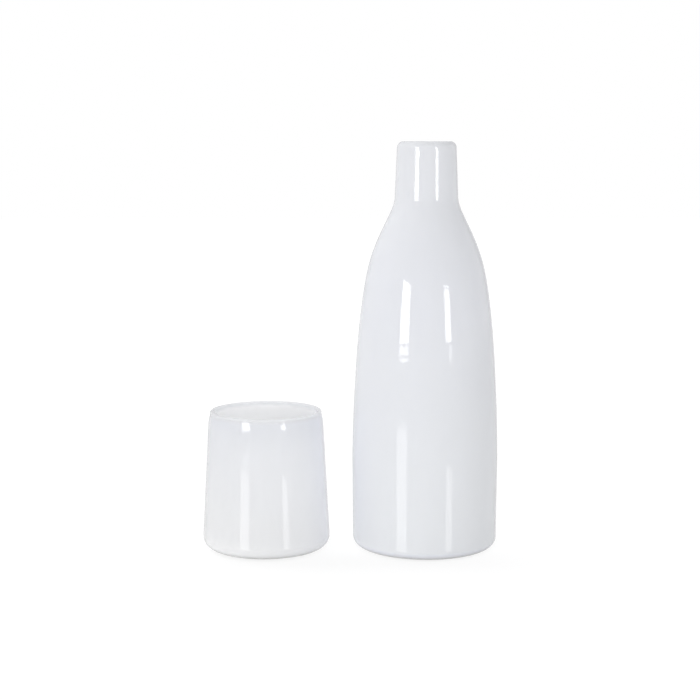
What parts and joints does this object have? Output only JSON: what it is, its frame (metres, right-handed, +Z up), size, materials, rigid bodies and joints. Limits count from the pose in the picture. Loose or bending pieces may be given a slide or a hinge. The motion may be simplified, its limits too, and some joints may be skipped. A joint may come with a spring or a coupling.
{
  "type": "glass carafe with tumbler",
  "caption": "Bottle-shaped carafe of white opal glass with a slim neck, and a tapered drinking tumbler of the same glass that stands beside it or covers the neck.",
  "frame": {"origin": "middle of the carafe's flat foot, on the surface that both pieces stand on", "axes": "+Z up along the carafe's axis; the viewer stands on the -Y side, with +X to the right and the tumbler on the -X side"},
  "size_m": [0.183, 0.0902, 0.25],
  "materials": {
    "carafe_opal_glass": "opaque white opal glass, cool white, smooth and glossy",
    "tumbler_opal_glass": "white opal glass, a little more translucent than the carafe, smooth and glossy"
  },
  "bodies": {
    "carafe": {"carafe": "carafe_opal_glass"},
    "tumbler": {"tumbler": "tumbler_opal_glass"}
  },
  "joints": [
    {"name": "tumbler_lift", "type": "slide", "parent": "carafe", "child": "tumbler", "axis": [0, 0, 1], "range_m": [0, 0.26]}
  ]
}
